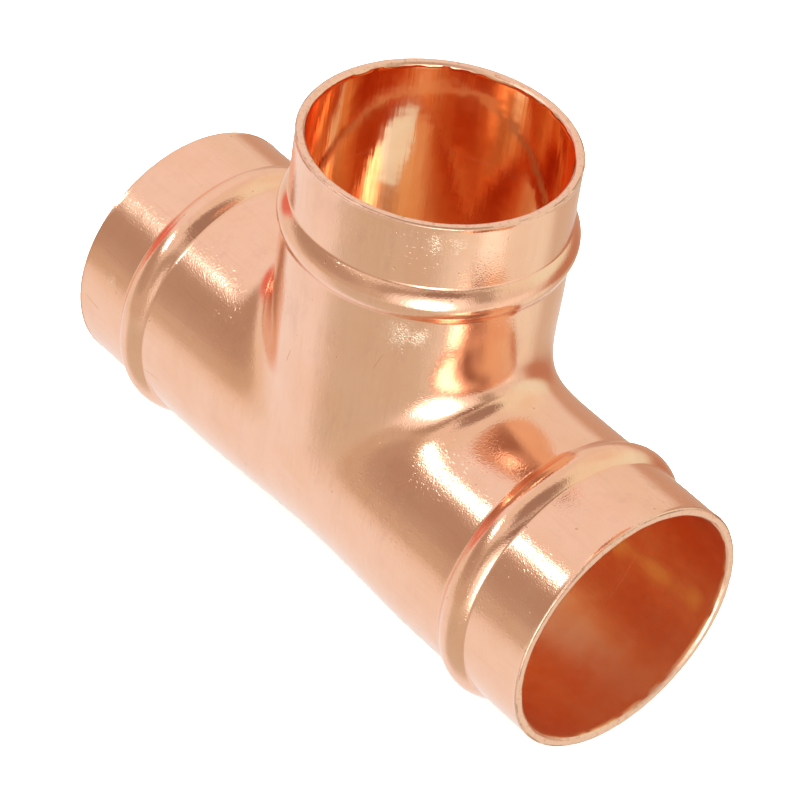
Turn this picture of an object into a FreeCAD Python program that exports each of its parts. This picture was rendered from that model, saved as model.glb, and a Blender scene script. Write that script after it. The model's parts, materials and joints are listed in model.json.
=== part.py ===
import FreeCAD, Part
import math
import os
from FreeCAD import Vector

# Copper equal tee with a built-in solder ring in each of its three sockets.
# Millimetres. The origin is where the axes of the run and the branch cross.
# The run lies along X, the branch rises along +Z.

# Sockets: each takes the end of a 28 mm tube.
SOCKET_R = 14.05        # inside radius of a socket
WALL = 1.05             # wall thickness at a mouth
SOCKET_DEPTH = 21.2     # from a mouth to its tube stop
RUN_HALF = 37.95        # from the origin to a run mouth
BRANCH_HEIGHT = 38.5    # from the origin to the branch mouth
RIM_ROUND = 0.22        # rounding of the outer edge of a mouth
RIM_CHAMFER = 0.25      # deburring chamfer on the inner edge of a mouth

# Body between the sockets.
RUN_NECK_R = 15.15      # outside radius of the run behind its beads
BRANCH_NECK_R = 15.35   # outside radius of the branch just behind its bead
BRANCH_ROOT_R = 15.0    # outside radius of the branch where it crosses the run's axis
RUN_WATERWAY_R = 13.3   # inside radius of the run between its tube stops
BRANCH_WATERWAY_R = 13.1  # inside radius of the branch below its tube stop
STOP_CHAMFER = 0.4      # length of the cone at a tube stop, along the axis
OUTER_CROTCH_R = 4.5    # fillet between branch and run, outside
INNER_CROTCH_R = 2.5    # fillet between branch and run, inside

# Rolled bead and the groove behind it, one pair in each socket.
LEFT_BEAD_SETBACK = 9.7     # from the left mouth to the middle of its bead
RIGHT_BEAD_SETBACK = 10.4   # the same at the right mouth
BRANCH_BEAD_SETBACK = 9.7   # the same at the branch mouth
BEAD_HALF_WIDTH = 2.3
BEAD_HEIGHT = 1.0       # crest of the bead above the mouth's outside
GROOVE_HALF_WIDTH = 1.5
GROOVE_DEPTH = 1.0      # depth of the groove below the socket wall
RING_RECESS = 0.05      # how far a solder ring's face lies below the socket wall

MOUTH_R = SOCKET_R + WALL
CREST_R = MOUTH_R + BEAD_HEIGHT
GROOVE_R = SOCKET_R + GROOVE_DEPTH
SEAM_TOLERANCE = 0.01   # how near a point must be to a surface to lie on it
ORIGIN = Vector(0, 0, 0)
AXIS_X = Vector(1, 0, 0)
AXIS_Y = Vector(0, 1, 0)
AXIS_Z = Vector(0, 0, 1)


def line(start, end):
    """Straight edge between two (radius, height) points of a profile drawn beside the Z axis."""
    return Part.makeLine(Vector(start[0], 0, start[1]), Vector(end[0], 0, end[1]))


def arc(start, middle, end):
    """Arc edge through three (radius, height) points of a profile drawn beside the Z axis."""
    points = [Vector(radius, 0, height) for radius, height in (start, middle, end)]
    return Part.Arc(*points).toShape()


def revolve(edges):
    """Solid of revolution about the Z axis from a closed profile."""
    face = Part.Face(Part.Wire(edges))
    return face.revolve(ORIGIN, AXIS_Z, 360)


def polyline(points):
    """Straight edges from each point to the next."""
    return [line(start, end) for start, end in zip(points, points[1:])]


def outer_leg(length, setback, root_r, neck_r):
    """Outside of one leg along +Z: neck, rolled bead, mouth and its rounded edge."""
    bead = length - setback
    bead_low = bead - BEAD_HALF_WIDTH
    bead_high = bead + BEAD_HALF_WIDTH
    slant = RIM_ROUND * (1 - 0.5 ** 0.5)
    edges = polyline([(0, 0), (root_r, 0), (neck_r, bead_low)])
    edges.append(arc((neck_r, bead_low), (CREST_R, bead), (MOUTH_R, bead_high)))
    edges.append(line((MOUTH_R, bead_high), (MOUTH_R, length - RIM_ROUND)))
    edges.append(arc((MOUTH_R, length - RIM_ROUND),
                     (MOUTH_R - slant, length - slant),
                     (MOUTH_R - RIM_ROUND, length)))
    edges += polyline([(MOUTH_R - RIM_ROUND, length), (0, length), (0, 0)])
    return revolve(edges)


def groove_arc(bead):
    """Arc of the groove behind a bead whose middle is at height bead."""
    return arc((SOCKET_R, bead - GROOVE_HALF_WIDTH),
               (GROOVE_R, bead),
               (SOCKET_R, bead + GROOVE_HALF_WIDTH))


def inner_leg(length, setback, waterway_r):
    """Hollow of one leg along +Z: waterway, tube stop, socket, groove and mouth chamfer."""
    bead = length - setback
    stop = length - SOCKET_DEPTH
    edges = polyline([(0, 0), (waterway_r, 0),
                      (waterway_r, stop - STOP_CHAMFER),
                      (SOCKET_R, stop),
                      (SOCKET_R, bead - GROOVE_HALF_WIDTH)])
    edges.append(groove_arc(bead))
    edges += polyline([(SOCKET_R, bead + GROOVE_HALF_WIDTH),
                       (SOCKET_R, length - RIM_CHAMFER),
                       (SOCKET_R + RIM_CHAMFER, length),
                       (0, length),
                       (0, 0)])
    return revolve(edges)


def solder_ring(length, setback):
    """Ring of solder pressed into the groove of a leg along +Z, its face just below the wall."""
    bead = length - setback
    face_r = SOCKET_R + RING_RECESS
    disc = Part.Face(Part.Wire([
        groove_arc(bead),
        line((SOCKET_R, bead + GROOVE_HALF_WIDTH), (SOCKET_R, bead - GROOVE_HALF_WIDTH)),
    ]))
    blank = disc.revolve(ORIGIN, AXIS_Z, 360)
    core = Part.makeCylinder(face_r, 2 * BEAD_HALF_WIDTH,
                             Vector(0, 0, bead - BEAD_HALF_WIDTH), AXIS_Z)
    return blank.cut(core)


def turn_to_run(shape, angle):
    """Copy of a leg along +Z, turned about Y: 90 degrees to +X, -90 to -X."""
    turned = shape.copy()
    turned.rotate(ORIGIN, AXIS_Y, angle)
    return turned


def crotch_edges(shape, run_r):
    """Edges of the seam where the branch leaves the run: closed curves on the run, above its axis."""
    found = []
    for edge in shape.Edges:
        steps = [edge.FirstParameter + (edge.LastParameter - edge.FirstParameter) * share
                 for share in (0.1, 0.35, 0.6, 0.85)]
        points = [edge.valueAt(step) for step in steps]
        on_run = all(abs(math.hypot(point.y, point.z) - run_r) < SEAM_TOLERANCE for point in points)
        spread = max(point.x for point in points) - min(point.x for point in points)
        if on_run and spread > run_r / 2 and min(point.z for point in points) > 0:
            found.append(edge)
    return found


def blended_tee(left_leg, right_leg, branch_leg, run_r, fillet_r):
    """Two run legs and a branch leg as one solid, with a fillet along the seam between them."""
    run = turn_to_run(left_leg, -90).fuse(turn_to_run(right_leg, 90)).removeSplitter()
    joined = run.fuse(branch_leg).removeSplitter()
    return joined.makeFillet(fillet_r, crotch_edges(joined, run_r))


def make_body():
    """The seamless copper body: its outside less its hollow."""
    outside = blended_tee(
        outer_leg(RUN_HALF, LEFT_BEAD_SETBACK, RUN_NECK_R, RUN_NECK_R),
        outer_leg(RUN_HALF, RIGHT_BEAD_SETBACK, RUN_NECK_R, RUN_NECK_R),
        outer_leg(BRANCH_HEIGHT, BRANCH_BEAD_SETBACK, BRANCH_ROOT_R, BRANCH_NECK_R),
        RUN_NECK_R, OUTER_CROTCH_R)
    hollow = blended_tee(
        inner_leg(RUN_HALF, LEFT_BEAD_SETBACK, RUN_WATERWAY_R),
        inner_leg(RUN_HALF, RIGHT_BEAD_SETBACK, RUN_WATERWAY_R),
        inner_leg(BRANCH_HEIGHT, BRANCH_BEAD_SETBACK, BRANCH_WATERWAY_R),
        RUN_WATERWAY_R, INNER_CROTCH_R)
    return outside.cut(hollow)


def make_parts():
    """Every piece by its name."""
    return {
        "tee_body": make_body(),
        "solder_ring_left": turn_to_run(solder_ring(RUN_HALF, LEFT_BEAD_SETBACK), -90),
        "solder_ring_right": turn_to_run(solder_ring(RUN_HALF, RIGHT_BEAD_SETBACK), 90),
        "solder_ring_branch": solder_ring(BRANCH_HEIGHT, BRANCH_BEAD_SETBACK),
    }


os.makedirs("parts", exist_ok=True)
for name, shape in make_parts().items():
    shape.exportStep(os.path.join("parts", name + ".step"))
    box = shape.BoundBox
    print(name, "solids", len(shape.Solids), "valid", shape.isValid(), "mm3 %.1f" % shape.Volume,
          "box %.2f %.2f %.2f" % (box.XLength, box.YLength, box.ZLength))
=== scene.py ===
import json
import math

import bmesh
import bpy
import numpy as np
from mathutils import Matrix, Vector, noise


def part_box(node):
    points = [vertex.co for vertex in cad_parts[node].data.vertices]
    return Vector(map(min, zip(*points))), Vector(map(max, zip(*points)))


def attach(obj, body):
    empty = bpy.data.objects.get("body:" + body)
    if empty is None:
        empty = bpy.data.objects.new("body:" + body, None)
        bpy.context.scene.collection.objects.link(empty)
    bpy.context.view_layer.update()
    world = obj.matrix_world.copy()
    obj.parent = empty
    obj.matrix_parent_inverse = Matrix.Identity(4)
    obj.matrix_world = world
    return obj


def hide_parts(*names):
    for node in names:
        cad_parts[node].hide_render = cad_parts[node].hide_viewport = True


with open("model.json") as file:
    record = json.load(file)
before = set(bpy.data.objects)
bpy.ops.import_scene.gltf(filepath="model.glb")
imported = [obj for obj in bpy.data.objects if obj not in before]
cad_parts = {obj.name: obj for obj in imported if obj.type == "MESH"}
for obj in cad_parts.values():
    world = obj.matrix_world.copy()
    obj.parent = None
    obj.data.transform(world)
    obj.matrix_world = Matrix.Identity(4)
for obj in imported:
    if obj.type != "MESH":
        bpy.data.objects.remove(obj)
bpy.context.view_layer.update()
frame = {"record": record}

# A copper equal tee with a solder ring in each socket. Metres, in the CAD frame:
# the run lies along X, the branch rises along +Z, and their axes cross at the origin.

MM = 0.001

# ---------------------------------------------------------------- sizes from the frame

box_low, box_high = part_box("tee_body")
RUN_HALF = box_high[0]
BRANCH_HEIGHT = box_high[2]
CREST_R = box_high[1]
MOUNTS = {mount["name"]: mount for mount in frame["record"]["mounts"]}
SOCKET_R = MOUNTS["branch_socket"]["dims"]["r_mm"] * MM


def ring_middle(node, axis):
    """Distance of a solder ring's middle from the origin, along an axis."""
    low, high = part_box(node)
    return abs(low[axis] + high[axis]) / 2


# ---------------------------------------------------------------- shape of the copper body

WALL = 1.05 * MM
MOUTH_R = SOCKET_R + WALL
SOCKET_DEPTH = 21.2 * MM
RIM_ROUND = 0.25 * MM
RIM_CHAMFER = 0.25 * MM

RUN_NECK_R = 15.12 * MM
BRANCH_ROOT_R = 15.05 * MM
BRANCH_NECK_R = 15.38 * MM
NECK_FLARE = (8 * MM, 24 * MM)      # heights between which the branch widens
WAIST = 0.62 * MM                   # how far the underside is drawn in at mid run
WAIST_REACH = 20 * MM               # how far from mid run it is back to full size
WAIST_TOP = 0.35                    # height on the run, as a share of its radius, where it begins
OUTER_BLEND = 8.0 * MM              # width of the soft join of branch and run, outside
INNER_BLEND = 4.6 * MM              # the same inside
BLEND_FADE = 0.6                    # how soon the join tightens towards the run's two sides

BEAD_BODY_HALF = 2.15 * MM          # bead, from its middle to its foot on the body side
BEAD_MOUTH_HALF = 2.0 * MM          # and on the mouth side, where it ends in a crease
BEAD_SLOPE = 1.2                    # how steeply it falls on the body side
CREST_GAP = 0.03 * MM               # how far its crest stays below the CAD's
CREASE_BAND = 0.6 * MM              # band of fine rows past the crease
GROOVE_HALF = 1.5 * MM
GROOVE_DEPTH = 1.0 * MM
GROOVE_ARC_R = (GROOVE_HALF ** 2 + GROOVE_DEPTH ** 2) / (2 * GROOVE_DEPTH)
RING_RECESS = 0.004 * MM            # how far a ring's face lies behind the socket wall
RING_BACK_GAP = 0.01 * MM           # and its back off the groove
RUN_WATERWAY_R = 13.3 * MM
BRANCH_WATERWAY_R = 13.1 * MM
STOP_CONE = 0.4 * MM

COLUMNS = 240                       # columns of faces round a leg
OUTER_ROWS, INNER_ROWS = 64, 40     # rows of a leg between its seam and its first fixed row
MERGE = 0.002 * MM                  # seam points closer than this are one
TINY = 1e-9                         # keeps divisions safe, and a depth below this counts as none
HALVINGS = 44                       # each halves the error of a point on a surface
REACH = 9 * MM                      # the crotch never stands further than this off a leg
LEAD = 2 * MM                       # a search for a surface starts this far inside its radius


class Leg:
    """One leg of the tee: its length, where its bead is, and how wide its waterway is."""

    def __init__(self, name, length, bead, waterway_r):
        self.name = name
        self.length = length
        self.bead = bead
        self.waterway_r = waterway_r

    def point(self, along, radius, angle):
        """The point at a distance along the leg's axis, a radius off it and an angle round it."""
        if self.name == "branch":
            return radius * np.cos(angle), radius * np.sin(angle), along
        side = 1 if self.name == "right" else -1
        return side * along, radius * np.sin(angle), radius * np.cos(angle)


LEGS = {
    "left": Leg("left", RUN_HALF, ring_middle("solder_ring_left", 0), RUN_WATERWAY_R),
    "right": Leg("right", RUN_HALF, ring_middle("solder_ring_right", 0), RUN_WATERWAY_R),
    "branch": Leg("branch", BRANCH_HEIGHT, ring_middle("solder_ring_branch", 2),
                  BRANCH_WATERWAY_R),
}


def ease(share):
    """Smooth step from 0 to 1."""
    share = np.clip(share, 0, 1)
    return share * share * (3 - 2 * share)


def neck_radius(leg, along):
    """Outside radius between the crotch and the bead."""
    if leg.name == "branch":
        low, high = NECK_FLARE
        share = ease((along - low) / (high - low))
        return BRANCH_ROOT_R + (BRANCH_NECK_R - BRANCH_ROOT_R) * share
    return RUN_NECK_R + 0 * along


def outer_radius(leg, along):
    """Outside radius at a distance along a leg's axis: neck, bead and mouth."""
    offset = along - leg.bead
    share = ease((offset + BEAD_BODY_HALF) / (BEAD_BODY_HALF + BEAD_MOUTH_HALF))
    base = neck_radius(leg, along)
    base = base + (MOUTH_R - base) * share
    u_body = np.clip(-offset / BEAD_BODY_HALF, 0, 1)
    u_mouth = np.clip(offset / BEAD_MOUTH_HALF, 0, 1)
    bulge = (1 - u_body ** 2) ** BEAD_SLOPE * (1 - u_mouth ** 2)
    crest = CREST_R - CREST_GAP
    middle = ease(BEAD_BODY_HALF / (BEAD_BODY_HALF + BEAD_MOUTH_HALF))
    neck = neck_radius(leg, leg.bead)
    height = crest - (neck + (MOUTH_R - neck) * middle)
    return base + height * bulge


def groove_depth(offset):
    """How deep a bead's groove is at a distance from its middle."""
    offset = np.clip(np.abs(offset), 0, GROOVE_HALF)
    return np.sqrt(GROOVE_ARC_R ** 2 - offset ** 2) - (GROOVE_ARC_R - GROOVE_DEPTH)


def inner_radius(leg, along):
    """Inside radius at a distance along a leg's axis: waterway, stop, socket and groove."""
    stop = leg.length - SOCKET_DEPTH
    share = np.clip((along - stop + STOP_CONE) / STOP_CONE, 0, 1)
    base = leg.waterway_r + (SOCKET_R - leg.waterway_r) * share
    return base + groove_depth(along - leg.bead)


def soft_min(a, b, width):
    """Smaller of two distances, with the corner between them rounded over a width."""
    width = np.maximum(width, TINY)
    overlap = np.maximum(width - np.abs(a - b), 0) / width
    return np.minimum(a, b) - overlap ** 3 * width / 6


def tee_field(x, y, z, radius_of, blend):
    """Signed distance, roughly, to a tee whose legs have the radii radius_of(leg, along)."""
    from_run = np.hypot(y, z) + TINY
    from_branch = np.hypot(x, y) + TINY
    out = np.abs(x)
    run_r = np.where(x > 0, radius_of(LEGS["right"], out), radius_of(LEGS["left"], out))
    under = ease(WAIST_TOP - z / from_run)
    run_r = run_r - WAIST * under * (1 - ease(out / WAIST_REACH))
    run = from_run - run_r
    branch = from_branch - radius_of(LEGS["branch"], np.maximum(z, 0))
    branch = np.where(z < -TINY, np.where(branch < 0, -z, np.hypot(branch, z)), branch)
    facing = y * y / (from_run * from_branch)
    return soft_min(run, branch, blend * np.clip(1 - facing, 0, 1) ** BLEND_FADE)


def outer_field(x, y, z):
    return tee_field(x, y, z, outer_radius, OUTER_BLEND)


def inner_field(x, y, z):
    return tee_field(x, y, z, inner_radius, INNER_BLEND)


def solve(field_at, low, high):
    """Where a field that is negative at low and positive at high crosses zero, by halving."""
    for _ in range(HALVINGS):
        middle = (low + high) / 2
        inside = field_at(middle) < 0
        low = np.where(inside, middle, low)
        high = np.where(inside, high, middle)
    return (low + high) / 2


def fold(leg, angle):
    """Angle round the run of each column's seam point. The branch's climbs over both sides."""
    if leg.name != "branch":
        return angle
    return np.arctan2(np.sin(angle), np.abs(np.cos(angle)))


def seam_radius(field, radius_of, angle):
    """Where the branch meets the run: distance from the run's axis at each angle round it."""
    across = np.maximum(np.cos(angle), 0)
    slimmest = min(radius_of(LEGS["right"], 0.0), radius_of(LEGS["branch"], 0.0))
    least = np.full_like(angle, slimmest - MM)
    return solve(lambda r: field(r * across, r * np.sin(angle), r * np.cos(angle)),
                 least, least + REACH)


def wall_rows(leg, field, radius_of, alongs, angle):
    """Points of one surface of a leg: a row for each line of alongs, a column for each angle."""
    angles = np.broadcast_to(angle, alongs.shape)
    start = radius_of(leg, alongs) - LEAD
    radii = solve(lambda r: field(*leg.point(alongs, r, angles)), start, start + REACH + LEAD)
    return np.stack(leg.point(alongs, radii, angles), axis=-1)


def leg_alongs(leg, seam, angle, rows, fixed):
    """Distances along a leg: rows spread from the seam to the first fixed row, then the fixed."""
    if leg.name == "branch":
        start = seam * np.abs(np.cos(angle))
    else:
        start = seam * np.maximum(np.cos(angle), 0)
    share = np.linspace(0, 1, rows, endpoint=False)[:, None]
    spread = start[None, :] + (fixed[0] - start[None, :]) * share
    return np.vstack([spread, np.repeat(fixed[:, None], len(angle), axis=1)])


def outer_stations(leg):
    """Fixed distances along a leg's outside: the bead and the mouth band."""
    foot, crease = leg.bead - BEAD_BODY_HALF, leg.bead + BEAD_MOUTH_HALF
    return np.concatenate([
        np.linspace(foot - MM, foot, 4, endpoint=False),
        np.linspace(foot, crease, 34, endpoint=False),
        np.linspace(crease, crease + CREASE_BAND, 4, endpoint=False),
        np.linspace(crease + CREASE_BAND, leg.length - RIM_ROUND, 16),
    ])


def inner_stations(leg):
    """Fixed distances along a leg's inside, from its tube stop to the chamfer."""
    stop = leg.length - SOCKET_DEPTH
    low, high = leg.bead - GROOVE_HALF, leg.bead + GROOVE_HALF
    return np.concatenate([
        np.linspace(stop - STOP_CONE, stop, 3, endpoint=False),
        np.linspace(stop, low, 14, endpoint=False),
        np.linspace(low, high, 18, endpoint=False),
        np.linspace(high, leg.length - RIM_CHAMFER, 16),
    ])


RIM_SEEDS = {"left": 3.0, "right": 11.0, "branch": 23.0}
FACE_WANDER = 0.015 * MM            # unevenness of the cut face
CHAMFER_WANDER = 0.08 * MM          # and of the scraped chamfer inside it
SAW_DROP = 0.02                     # depth of the saw's cut in millimetres, and its unevenness


def rim_rows(leg, angle):
    """Points over a mouth's edge, from outside to inside, a little uneven as a saw leaves it."""
    seed = RIM_SEEDS[leg.name]
    turn = [(math.cos(t), math.sin(t)) for t in np.linspace(0, math.pi / 2, 6)]
    profile = [(MOUTH_R - RIM_ROUND + RIM_ROUND * c, RIM_ROUND * s - RIM_ROUND)
               for c, s in turn[1:]]
    face = SOCKET_R + RIM_CHAMFER
    for share in (0.2, 0.4, 0.6, 0.8):
        profile.append((MOUTH_R - RIM_ROUND + (face - MOUTH_R + RIM_ROUND) * share, 0))
    chamfer_start = len(profile)
    for share in (0.0, 0.3, 0.6, 0.85):
        profile.append((face - RIM_CHAMFER * share, -RIM_CHAMFER * share ** 1.5))
    rows = []
    for index, (radius, drop) in enumerate(profile):
        wander = np.array([
            noise.noise(Vector((math.cos(a) * 7, math.sin(a) * 7, seed + index * 0.5)))
            + 0.6 * noise.noise(Vector((math.cos(a) * 28, math.sin(a) * 28, seed + index * 0.9)))
            for a in angle])
        radii = radius + wander * (CHAMFER_WANDER if index >= chamfer_start else FACE_WANDER)
        alongs = leg.length + drop - (SAW_DROP + SAW_DROP * np.abs(wander)) * MM
        rows.append(np.stack(leg.point(alongs, radii, angle), axis=-1))
    return np.stack(rows)


OUTSIDE, RIM, BRANCH_BORE, RUN_BORE, BURR = range(5)    # places of the body's materials
BURR_STRIPS = (3, 4)                # strips of the rim, counted from outside, that carry the line of painted shade
SHARP = math.radians(28)            # bore edges that bend more than this stay crisp


def leg_surface(leg):
    """Rows of points from the outer seam over the mouth to the inner seam, and strip materials."""
    angle = np.linspace(0, 2 * math.pi, COLUMNS, endpoint=False)
    outer_seam = seam_radius(outer_field, outer_radius, fold(leg, angle))
    inner_seam = seam_radius(inner_field, inner_radius, fold(leg, angle))
    alongs = leg_alongs(leg, outer_seam, angle, OUTER_ROWS, outer_stations(leg))
    outside = wall_rows(leg, outer_field, outer_radius, alongs, angle)
    rim = rim_rows(leg, angle)
    alongs = leg_alongs(leg, inner_seam, angle, INNER_ROWS, inner_stations(leg))
    inside = wall_rows(leg, inner_field, inner_radius, alongs, angle)[::-1]
    bore = BRANCH_BORE if leg.name == "branch" else RUN_BORE
    marks = [OUTSIDE] * (len(outside) - 1) + [RIM] * (len(rim) + 1) + [bore] * (len(inside) - 1)
    for strip in BURR_STRIPS:
        marks[len(outside) - 1 + strip] = BURR
    return np.concatenate([outside, rim, inside]), marks


def outside_wobble(point):
    """Slight unevenness of the drawn and bulged outside, always inwards."""
    broad = noise.noise(point * 85)
    fine = noise.noise(point * 260 + Vector((5, 3, 1)))
    return -(0.05 + 0.05 * broad + 0.008 * fine) * MM


def bore_wobble(point):
    """Slight unevenness of a bore, either way. The solder rings follow it."""
    broad = noise.noise(point * 110 + Vector((2, 7, 4)))
    fine = noise.noise(point * 330)
    return (0.03 * broad + 0.006 * fine) * MM


def crisp_edges(bm, least_material):
    """Keeps the shading crisp across the groove lips, tube stops and ring corners."""
    for edge in bm.edges:
        inside = all(face.material_index >= least_material for face in edge.link_faces)
        if inside and len(edge.link_faces) == 2 and edge.calc_face_angle() > SHARP:
            edge.smooth = False


def add_strip(bm, low, high, mark):
    """Closed strip of smooth faces between two rings of vertices."""
    for column, low_vert in enumerate(low):
        after = (column + 1) % len(low)
        face = bm.faces.new((low_vert, low[after], high[after], high[column]))
        face.material_index = mark
        face.smooth = True


def finish_mesh(bm, name, least_material):
    """Turns a closed bmesh into an object, with the crisp edges of its bore materials."""
    crisp_edges(bm, least_material)
    mesh = bpy.data.meshes.new(name)
    bm.to_mesh(mesh)
    bm.free()
    return bpy.data.objects.new(name, mesh)


def make_body():
    """The copper body as one closed mesh, its legs joined along shared seams."""
    bm = bmesh.new()
    for leg in LEGS.values():
        rows, marks = leg_surface(leg)
        grid = [[bm.verts.new(point) for point in row] for row in rows.tolist()]
        for low, high, mark in zip(grid, grid[1:], marks):
            add_strip(bm, low, high, mark)
    bmesh.ops.remove_doubles(bm, verts=bm.verts, dist=MERGE)
    bmesh.ops.recalc_face_normals(bm, faces=bm.faces)
    bm.normal_update()
    for vert in bm.verts:
        surfaces = {face.material_index for face in vert.link_faces}
        if OUTSIDE in surfaces:
            vert.co += vert.normal * outside_wobble(vert.co)
        elif RIM not in surfaces and BURR not in surfaces:
            vert.co += vert.normal * bore_wobble(vert.co)
    return finish_mesh(bm, "copper_body", BRANCH_BORE)


def make_ring(leg):
    """A ring of solder in its groove: round behind, its face a shade below the socket wall."""
    half = GROOVE_HALF - RING_RECESS
    back = [(SOCKET_R + groove_depth(offset) - RING_BACK_GAP, offset)
            for offset in np.linspace(-half, half, 15)[1:-1]]
    front = [(SOCKET_R + RING_RECESS, offset) for offset in np.linspace(half, -half, 9)]
    bm = bmesh.new()
    grid = []
    for angle in np.linspace(0, 2 * math.pi, COLUMNS, endpoint=False):
        line = []
        for radius, offset in back + front:
            along = leg.bead + offset
            radius = radius - bore_wobble(Vector(leg.point(along, SOCKET_R, angle)))
            line.append(bm.verts.new(leg.point(along, radius, angle)))
        grid.append(line)
    for here, there in zip(grid, grid[1:] + grid[:1]):
        add_strip(bm, here, there, 0)
    bmesh.ops.recalc_face_normals(bm, faces=bm.faces)
    return finish_mesh(bm, "solder_" + leg.name, 0)


# ---------------------------------------------------------------- materials

class Nodes:
    """Short hand for building a node tree. Lengths in it are in metres."""

    def __init__(self, tree):
        self.tree = tree
        tree.nodes.clear()

    def add(self, kind, **settings):
        node = self.tree.nodes.new(kind)
        for key, value in settings.items():
            setattr(node, key, value)
        return node

    def link(self, source, target):
        self.tree.links.new(source, target)

    def feed(self, socket, value):
        """A socket takes a link if value is a socket, or else a plain value."""
        if isinstance(value, bpy.types.NodeSocket):
            self.link(value, socket)
        else:
            socket.default_value = value

    def math(self, operation, a, b=0.0):
        node = self.add("ShaderNodeMath", operation=operation)
        self.feed(node.inputs[0], a)
        self.feed(node.inputs[1], b)
        return node.outputs[0]

    def vector(self, operation, a, b=(0, 0, 0)):
        node = self.add("ShaderNodeVectorMath", operation=operation)
        self.feed(node.inputs[0], a)
        self.feed(node.inputs[1], b)
        return node.outputs["Value"] if operation in ("DOT_PRODUCT", "LENGTH") else node.outputs[0]

    def step(self, value, low, high, out_low=0.0, out_high=1.0):
        """Smooth step of value from low to high."""
        node = self.add("ShaderNodeMapRange", interpolation_type="SMOOTHSTEP")
        for socket, number in zip(node.inputs[:5], (value, low, high, out_low, out_high)):
            self.feed(socket, number)
        return node.outputs[0]

    def noise(self, vector, scale, detail, rough):
        """Noise with scale cells in a metre, and detail layers of finer noise on it."""
        node = self.add("ShaderNodeTexNoise")
        self.feed(node.inputs["Vector"], vector)
        for key, number in (("Scale", scale), ("Detail", detail), ("Roughness", rough)):
            node.inputs[key].default_value = number
        return node.outputs[0]

    def mix(self, share, a, b):
        """Colour a where share is 0, and b where it is 1."""
        node = self.add("ShaderNodeMix", data_type="RGBA")
        for index, value in ((0, share), (6, a), (7, b)):    # 6 and 7 are its colour sockets
            self.feed(node.inputs[index], value)
        return node.outputs[2]

    def strongest(self, marks):
        """The largest of several marks' shares."""
        total = None
        for mark in marks:
            total = mark if total is None else self.math("MAXIMUM", total, mark)
        return total

    def bump(self, height, distance, below=None):
        """Normal roughened by a height, on top of the normal below if there is one."""
        node = self.add("ShaderNodeBump")
        node.inputs["Strength"].default_value = 1.0
        node.inputs["Distance"].default_value = distance
        self.link(height, node.inputs["Height"])
        if below is not None:
            self.link(below, node.inputs["Normal"])
        return node.outputs[0]

    def place(self):
        """Where a point is, in the part's frame."""
        return self.add("ShaderNodeTexCoord").outputs["Object"]

    def stretched(self, vector, scale):
        node = self.add("ShaderNodeMapping")
        self.link(vector, node.inputs["Vector"])
        node.inputs["Scale"].default_value = scale
        return node.outputs[0]


def colour(red, green, blue):
    return (red, green, blue, 1.0)


def new_material(name):
    material = bpy.data.materials.new(name)
    material.use_nodes = True
    return material, Nodes(material.node_tree)


def finish_metal(n, base, roughness, normal):
    """A metal shader on the material's output, given back for further settings."""
    shader = n.add("ShaderNodeBsdfPrincipled")
    shader.inputs["Metallic"].default_value = 1.0
    n.feed(shader.inputs["Base Color"], base)
    n.feed(shader.inputs["Roughness"], roughness)
    n.link(normal, shader.inputs["Normal"])
    n.link(shader.outputs[0], n.add("ShaderNodeOutputMaterial").inputs["Surface"])
    return shader


COPPER_PALE = colour(0.955, 0.59, 0.43)
COPPER_WARM = colour(0.935, 0.55, 0.38)
COPPER_DARK = colour(0.60, 0.32, 0.21)      # in the bottom of pits and score marks
ALONG_Z = (1, 1, 0.04)              # stretches a pattern along the branch
ALONG_X = (0.04, 1, 1)              # and along the run
DRAW_LINES = 2600                   # drawing lines in a metre
BRANCH_TO_RUN = (15.5 * MM, 19 * MM)        # where the branch's lines give way to the run's

# Score marks from handling. All in millimetres.
SCORES = [
    # point on the surface, a point further along the mark, half its length
    ((22.0, -12.4, -8.6), (24.6, -13.2, -7.2), 3.4),
    ((22.4, -12.0, -9.3), (25.0, -12.8, -8.0), 2.6),
    ((-24.5, -14.6, -3.5), (-22.3, -14.9, -3.2), 1.8),
    ((-35.5, -14.9, -0.5), (-33.4, -15.1, -1.0), 1.6),
    ((8.5, -12.5, 20.5), (9.2, -12.1, 22.6), 1.5),
    ((-2.5, -15.0, 14.6), (-1.9, -15.1, 16.6), 1.3),
]
SCORE_WIDTH = 0.055 * MM
RUN_FROM = 16                       # a mark more millimetres than this along X is on the run


def score_mark(n, place, middle, further, half):
    """How much of one score mark lies at a place, from 0 to 1."""
    middle, further = Vector(middle), Vector(further)
    on_run = abs(middle.x) > RUN_FROM
    out = Vector((0, middle.y, middle.z)) if on_run else Vector((middle.x, middle.y, 0))
    across = (further - middle).cross(out).normalized()
    offset = n.vector("SUBTRACT", place, tuple(middle * MM))
    beside = n.math("ABSOLUTE", n.vector("DOT_PRODUCT", offset, tuple(across)))
    line = n.step(beside, SCORE_WIDTH, 0.2 * SCORE_WIDTH)
    reach = n.step(n.vector("LENGTH", offset), half * MM, 0.5 * half * MM)
    return n.math("MULTIPLY", line, reach)


# Scuffed patches, their pale tone partly a painted highlight: where each is and how wide, in
# millimetres.
SCUFFS = [
    ((10.1, -11.5, 24.8), 2.3),
    ((11.5, -10.4, 24.6), 1.9),
    ((11.6, -10.0, 36.2), 1.5),
    ((12.9, -8.1, 36.4), 1.3),
    ((-33.0, -13.5, 4.0), 1.4),
]
SCUFF_RAGGED = 3 * MM               # how ragged a patch's outline is


def scuff_mark(n, place, ragged, middle, reach):
    """How much of one scuffed patch, paled as a painted highlight, lies at a place, from 0 to 1.
    Ragged adds 1.5 mm on average.
    """
    away = n.vector("LENGTH", n.vector("SUBTRACT", place, tuple(Vector(middle) * MM)))
    return n.step(n.math("ADD", away, ragged), (reach + 1.5) * MM, (0.4 * reach + 1.0) * MM)


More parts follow.
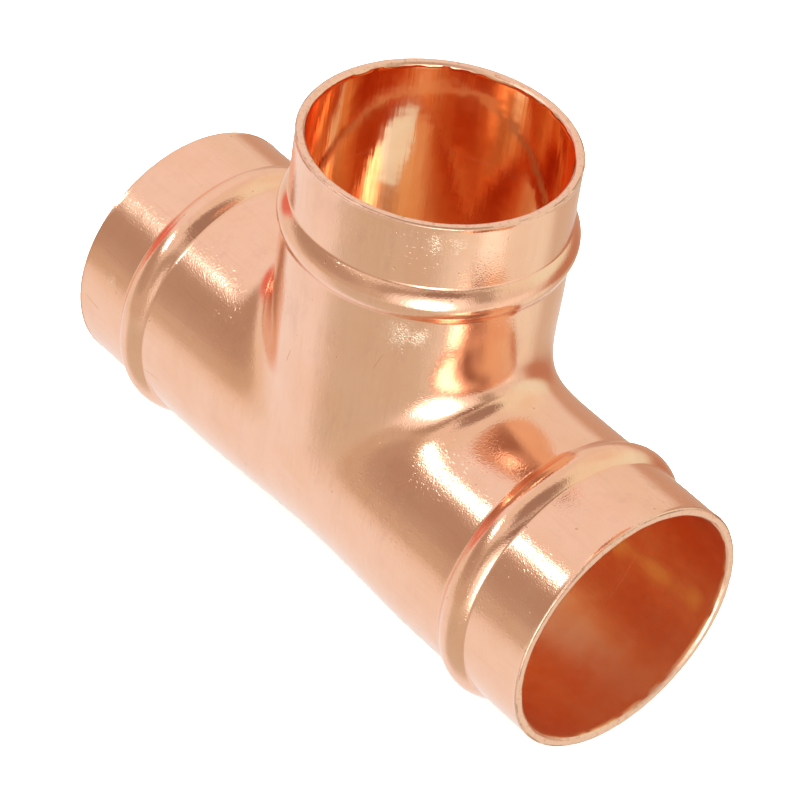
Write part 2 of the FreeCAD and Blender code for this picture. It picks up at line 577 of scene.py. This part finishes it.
def copper_outside():
    """Bulged and lightly pickled copper: fine speckle, drawing streaks, dull smudges, marks, and
    scuffs paled as painted highlights.
    """
    material, n = new_material("bright_copper")
    place = n.place()
    ripple = n.noise(place, 560, 2.0, 0.5)
    peel = n.noise(place, 6200, 1.0, 0.5)
    specks = n.step(n.noise(place, 3000, 0.0, 0.5), 0.64, 0.78)
    upright = n.noise(n.stretched(place, ALONG_Z), DRAW_LINES, 2.0, 0.6)
    level = n.noise(n.stretched(place, ALONG_X), DRAW_LINES, 2.0, 0.6)
    apart = n.vector("DOT_PRODUCT", place, (1, 0, 0))
    on_run = n.step(n.math("ABSOLUTE", apart), *BRANCH_TO_RUN)
    streaks = n.mix(on_run, upright, level)
    scores = n.strongest(score_mark(n, place, *score) for score in SCORES)
    pits = n.step(n.noise(place, 1400, 1.0, 0.5), 0.77, 0.80)
    patch = n.step(n.noise(place, 95, 2.0, 0.5), 0.48, 0.66)
    smudge = n.step(n.noise(n.stretched(place, (1, 1, 0.4)), 420, 4.0, 0.7), 0.46, 0.70)
    smudge = n.math("MULTIPLY", smudge, n.math("ADD", n.math("MULTIPLY", patch, 0.7), 0.3))
    scratched = n.noise(place, 5200, 1.0, 0.6)
    ragged = n.math("MULTIPLY", n.noise(place, 900, 3.0, 0.7), SCUFF_RAGGED)
    scuffs = n.strongest(scuff_mark(n, place, ragged, *scuff_highlight) for scuff_highlight in SCUFFS)
    scuffs = n.math("MULTIPLY", scuffs, n.step(scratched, 0.40, 0.60))
    normal = n.bump(ripple, 0.008 * MM)
    normal = n.bump(streaks, 0.004 * MM, normal)
    normal = n.bump(peel, 0.011 * MM, normal)
    specks = n.math("MULTIPLY", specks, n.math("ADD", patch, 0.35))
    normal = n.bump(specks, 0.007 * MM, normal)
    normal = n.bump(scuffs, 0.010 * MM, normal)
    normal = n.bump(n.math("MAXIMUM", scores, pits), -0.015 * MM, normal)
    cloud = n.noise(place, 120, 3.0, 0.6)
    base = n.mix(n.step(cloud, 0.35, 0.7), COPPER_PALE, COPPER_WARM)
    base = n.mix(n.step(streaks, 0.50, 0.80, 0.0, 0.45), base, colour(0.88, 0.51, 0.36))
    base = n.mix(n.math("MULTIPLY", smudge, 0.55), base, colour(0.82, 0.48, 0.36))
    # Scuffed patches: rougher worn metal, paled as a painted highlight.
    base = n.mix(scuffs, base, colour(1.0, 0.78, 0.63))
    base = n.mix(n.math("MULTIPLY", pits, 0.5), base, COPPER_DARK)
    base = n.mix(n.math("MULTIPLY", scores, 0.55), base, COPPER_DARK)
    rough = n.step(n.noise(place, 300, 3.0, 0.6), 0.3, 0.7, 0.08, 0.12)
    rough = n.math("ADD", rough, n.math("MULTIPLY", smudge, 0.06))
    rough = n.math("ADD", rough, n.math("MULTIPLY", scuffs, 0.16))
    finish_metal(n, base, rough, normal)
    return material


SAW_GRAIN = 0.03 * MM               # depth of the grain that the saw left on the rims


def copper_rim():
    """The cut face of a mouth, duller than the drawn copper."""
    material, n = new_material("cut_copper_edge")
    place = n.place()
    grain = n.noise(place, 1900, 3.0, 0.65)
    normal = n.bump(grain, SAW_GRAIN)
    base = n.mix(n.step(grain, 0.50, 0.70), colour(0.95, 0.62, 0.47), colour(0.80, 0.45, 0.31))
    finish_metal(n, base, 0.34, normal)
    return material


def copper_burr():
    """The rim's outer line, darkened in patches as painted shade."""
    material, n = new_material("burred_copper_edge")
    place = n.place()
    grain = n.noise(place, 2400, 3.0, 0.6)
    reach = n.noise(place, 210, 2.0, 0.5)
    # Dark patches along the rim's outer line: painted shade.
    share = n.step(n.math("ADD", reach, n.math("MULTIPLY", grain, 0.25)), 0.56, 0.70)
    base = n.mix(share, colour(0.93, 0.60, 0.45), colour(0.52, 0.31, 0.22))
    finish_metal(n, base, 0.38, n.bump(grain, SAW_GRAIN))
    return material


# A painted highlight band of paler gold, glossier than the bore round it, inside the right run
# socket: where it runs, in millimetres.
RUB_START, RUB_END = (23.5, 13.0, -5.4), (35.0, 13.3, -4.5)
RUB_HALF_WIDTH = 1.2
RUB_RAGGED = 0.8 * MM               # how ragged its sides are
RUB_ROUGHNESS = 0.30


def rub_share(n, place):
    """How much of the painted highlight band lies at a place inside the run, from 0 to 1. Ragged
    adds 0.4 mm on average.
    """
    ragged = n.math("MULTIPLY", n.noise(n.stretched(place, ALONG_X), 900, 3.0, 0.6), RUB_RAGGED)
    start, line = Vector(RUB_START) * MM, (Vector(RUB_END) - Vector(RUB_START)) * MM
    offset = n.vector("SUBTRACT", place, tuple(start))
    along = n.vector("DOT_PRODUCT", offset, tuple(line))
    along = n.step(n.math("MULTIPLY", along, 1 / line.length_squared), 0, 1)
    nearest = n.vector("MULTIPLY", along, tuple(line))
    away = n.vector("LENGTH", n.vector("SUBTRACT", offset, nearest))
    return n.step(n.math("ADD", away, ragged),
                  (RUB_HALF_WIDTH + 1.0) * MM, (0.2 * RUB_HALF_WIDTH + 0.4) * MM)


def bore_finish(name, axis, stretch, roughness, anisotropy, light_tone, deep_tone, rubbed):
    """Drawn metal inside a leg: fine lines along it, soft blotches, a stretched gloss, and where
    asked a painted highlight band.
    """
    material, n = new_material(name)
    place = n.place()
    lines = n.noise(n.stretched(place, stretch), 1300, 3.0, 0.6)
    blotch = n.noise(place, 260, 2.0, 0.5)
    normal = n.bump(lines, 0.018 * MM)
    normal = n.bump(blotch, 0.05 * MM, normal)
    base = n.mix(n.step(blotch, 0.35, 0.65), light_tone, deep_tone)
    if rubbed:
        rub = rub_share(n, place)
        # Painted highlight: paler gold where the band runs, with its own roughness.
        base = n.mix(rub, base, colour(1.0, 0.82, 0.42))
        roughness = n.step(rub, 0, 1, roughness, RUB_ROUGHNESS)
    shader = finish_metal(n, base, roughness, normal)
    shader.inputs["Anisotropic"].default_value = anisotropy
    shader.inputs["Anisotropic Rotation"].default_value = 0.25
    tangent = n.add("ShaderNodeTangent", direction_type="RADIAL", axis=axis)
    n.link(tangent.outputs[0], shader.inputs["Tangent"])
    return material


# Finishes inside the legs: axis and stretch of the drawn lines, roughness and anisotropy,
# then a light and a deep tone, and whether the painted highlight band is on it.
BRANCH_GLOSS = ("Z", ALONG_Z, 0.10, 0.5)
RUN_GLOSS = ("X", ALONG_X, 0.40, 0.3)
BRANCH_COPPER = (*BRANCH_GLOSS, colour(0.96, 0.635, 0.42), colour(0.95, 0.60, 0.38), False)
BRANCH_SOLDER = (*BRANCH_GLOSS, colour(0.955, 0.63, 0.42), colour(0.945, 0.595, 0.38), False)
# The run's bores and rings in deeper, redder tones than the branch's.
RUN_OXIDE = (*RUN_GLOSS, colour(0.975, 0.545, 0.30), colour(0.955, 0.47, 0.24), True)


# ---------------------------------------------------------------- pieces

scene = bpy.context.scene


def place_piece(piece, materials, node):
    """Puts a finished piece in the scene, on the root body, in place of its CAD node."""
    for material in materials:
        piece.data.materials.append(material)
    scene.collection.objects.link(piece)
    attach(piece, "root")
    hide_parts(node)


# In the order OUTSIDE, RIM, BRANCH_BORE, RUN_BORE, and the rim's line of painted shade.
body_materials = [copper_outside(), copper_rim(),
                  bore_finish("branch_bore_copper", *BRANCH_COPPER),
                  bore_finish("run_bore_copper", *RUN_OXIDE), copper_burr()]
place_piece(make_body(), body_materials, "tee_body")
branch_solder = bore_finish("flux_tinted_solder_branch", *BRANCH_SOLDER)
run_solder = bore_finish("flux_tinted_solder_run", *RUN_OXIDE)
for leg in LEGS.values():
    solder = branch_solder if leg.name == "branch" else run_solder
    place_piece(make_ring(leg), [solder], "solder_ring_" + leg.name)

# ---------------------------------------------------------------- floor

FLOOR_Z = box_low[2]
FLOOR_HALF = 3                      # metres, so that its edge is never in the picture
floor_mesh = bpy.data.meshes.new("floor")
floor_mesh.from_pydata([(x * FLOOR_HALF, y * FLOOR_HALF, FLOOR_Z)
                        for x, y in ((-1, -1), (1, -1), (1, 1), (-1, 1))], [], [(0, 1, 2, 3)])
floor = bpy.data.objects.new("floor", floor_mesh)
scene.collection.objects.link(floor)
floor.visible_glossy = False
material, n = new_material("white_paper")
shader = n.add("ShaderNodeBsdfDiffuse")
shader.inputs["Color"].default_value = colour(0.93, 0.93, 0.93)
n.link(shader.outputs[0], n.add("ShaderNodeOutputMaterial").inputs["Surface"])
floor_mesh.materials.append(material)

# ---------------------------------------------------------------- light

# The studio is a pale surround with a few soft boxes and cards in it. Each has a direction
# from the tee (azimuth from -Y towards +X, elevation), half its width and height as angles,
# a tilt, how much of its edge is soft, a colour, and how strongly it covers what is behind.
SURROUND = (0.88, 0.81, 0.71)
CARDS = [
    # azimuth, elevation, half width, half height, tilt, softness, colour, cover
    (-90, 40, 34, 26, 0, 0.4, (0.95, 0.90, 0.88), 0.9),
    (-75, -62, 50, 34, 0, 0.3, (0.97, 0.96, 0.95), 0.9),
    (24, -55, 34, 30, 0, 0.4, (0.68, 0.62, 0.50), 0.9),
    (95, -38, 24, 14, 0, 0.5, (0.95, 0.95, 0.84), 0.9),
    (100, -36, 8, 11, 0, 0.4, (1.25, 1.30, 1.20), 0.9),
    (140, 45, 42, 26, 0, 0.5, (0.94, 0.96, 0.79), 0.9),
    (192, -14, 42, 23, 0, 0.3, (0.62, 0.41, 0.29), 0.95),
    (168, -18, 24, 16, 0, 0.5, (0.55, 0.28, 0.18), 0.9),
    (173, -41, 13, 12, 0, 0.5, (0.70, 0.60, 0.46), 0.8),
    (146, -40, 12, 12, 0, 0.5, (0.94, 0.95, 0.82), 0.8),
    (178, 44, 12, 12, 0, 0.5, (0.90, 0.80, 0.64), 0.8),
    (157, 12, 30, 13, 0, 0.5, (0.92, 1.05, 0.88), 0.8),
    (-2, -30, 22, 16, 0, 0.5, (0.67, 0.62, 0.50), 0.7),
    (-5, 5, 52, 26, 0, 0.16, (0.66, 0.56, 0.44), 1.0),
    (-30, 13, 36, 16, 0, 0.3, (0.54, 0.43, 0.345), 1.0),
    (-42, 17, 24, 10, 0, 0.3, (0.50, 0.38, 0.30), 1.0),
    (30, 21, 15, 14, 0, 0.25, (0.52, 0.42, 0.33), 1.0),
    (66, 58, 26, 17, 4, 0.3, (0.37, 0.26, 0.21), 0.95),
    (24, 47, 9, 5, 0, 0.5, (0.95, 0.88, 0.80), 0.9),
    (68, 31, 34, 6, 0, 0.5, (0.46, 0.36, 0.28), 0.85),
    (64, 30, 15, 7, 0, 0.3, (0.34, 0.23, 0.18), 0.95),
    (93, 15, 8, 14, 0, 0.5, (0.42, 0.33, 0.26), 0.8),
    (54, -2, 27, 24, 0, 0.3, (1.2, 1.15, 1.08), 1.0),
    (55, -7, 13, 18, 0, 0.4, (5.0, 5.0, 4.8), 1.0),
    (-27.5, 38.5, 14, 4.0, 2, 0.08, (5.0, 5.0, 5.0), 1.0),
    (-81, 3, 8, 17, -22, 0.4, (0.80, 0.17, 0.12), 0.9),
    (115, -18, 14, 12, 0, 0.4, (1.05, 1.00, 0.90), 1.0),
]


def aim(azimuth, elevation):
    """Unit vector towards an azimuth and elevation, and those to its right and above it."""
    a, e = math.radians(azimuth), math.radians(elevation)
    ahead = Vector((math.sin(a) * math.cos(e), -math.cos(a) * math.cos(e), math.sin(e)))
    right = Vector((math.cos(a), math.sin(a), 0))
    return ahead, right, right.cross(ahead) * -1


CORNER = 3.0                        # a card is an ellipse at 2, and nearer a rectangle above it


def card_share(n, direction, azimuth, elevation, width, height, tilt, softness):
    """How much of a card lies in a direction, from 0 to 1."""
    ahead, right, up = aim(azimuth, elevation)
    turn = Matrix.Rotation(math.radians(tilt), 3, ahead)
    depth = n.vector("DOT_PRODUCT", direction, tuple(ahead))
    safe = n.math("MAXIMUM", depth, 0.001)
    powers = []
    for side, half_angle in ((right, width), (up, height)):
        side = (turn @ side) / math.tan(math.radians(half_angle))
        offset = n.math("DIVIDE", n.vector("DOT_PRODUCT", direction, tuple(side)), safe)
        powers.append(n.math("POWER", n.math("ABSOLUTE", offset), CORNER))
    spread = n.math("POWER", n.math("ADD", *powers), 1 / CORNER)
    inside = n.step(spread, 1 + softness, 1 - softness)
    in_front = n.step(depth, 0.0, 0.1)
    return n.math("MULTIPLY", inside, in_front)


FLOOR_LIGHT = colour(5.5, 5.5, 5.5)     # lights the floor to plain white
BACKDROP = colour(1.0, 1.0, 1.0)

world = bpy.data.worlds.new("studio")
scene.world = world
world.use_nodes = True
n = Nodes(world.node_tree)
direction = n.add("ShaderNodeTexCoord").outputs["Generated"]
light = colour(*SURROUND)
for azimuth, elevation, width, height, tilt, softness, tint, cover in CARDS:
    share = card_share(n, direction, azimuth, elevation, width, height, tilt, softness)
    light = n.mix(n.math("MULTIPLY", share, cover), light, colour(*tint))
path = n.add("ShaderNodeLightPath")
light = n.mix(path.outputs["Is Diffuse Ray"], light, FLOOR_LIGHT)
light = n.mix(path.outputs["Is Camera Ray"], light, BACKDROP)
background = n.add("ShaderNodeBackground")
n.link(light, background.inputs["Color"])
n.link(background.outputs[0], n.add("ShaderNodeOutputWorld").inputs["Surface"])

# The bores are lit by light that has been round inside them many times.
scene.cycles.max_bounces = 16
scene.cycles.glossy_bounces = 12
scene.cycles.diffuse_bounces = 3
scene.view_settings.view_transform = "Standard"
scene.view_settings.look = "None"

# ---------------------------------------------------------------- camera

AZIMUTH, ELEVATION, ROLL = 45.04, 38.68, 8.83       # degrees
DISTANCE = 0.4286                           # metres from the origin
PICTURE_CENTRE = (0.43 * MM, 3.04 * MM)     # right and up of the origin, in the picture
LENS, SENSOR = 177.2, 36                    # millimetres

ahead, _, _ = aim(AZIMUTH, ELEVATION)
turn = ahead.to_track_quat("Z", "Y").to_matrix() @ Matrix.Rotation(math.radians(ROLL), 3, "Z")
camera_data = bpy.data.cameras.new("camera")
camera_data.lens = LENS
camera_data.sensor_width = SENSOR
camera_data.clip_start = 0.01
camera = bpy.data.objects.new("camera", camera_data)
camera.matrix_world = turn.to_4x4()
camera.location = ahead * DISTANCE + turn @ Vector((*PICTURE_CENTRE, 0))
scene.collection.objects.link(camera)
scene.camera = camera
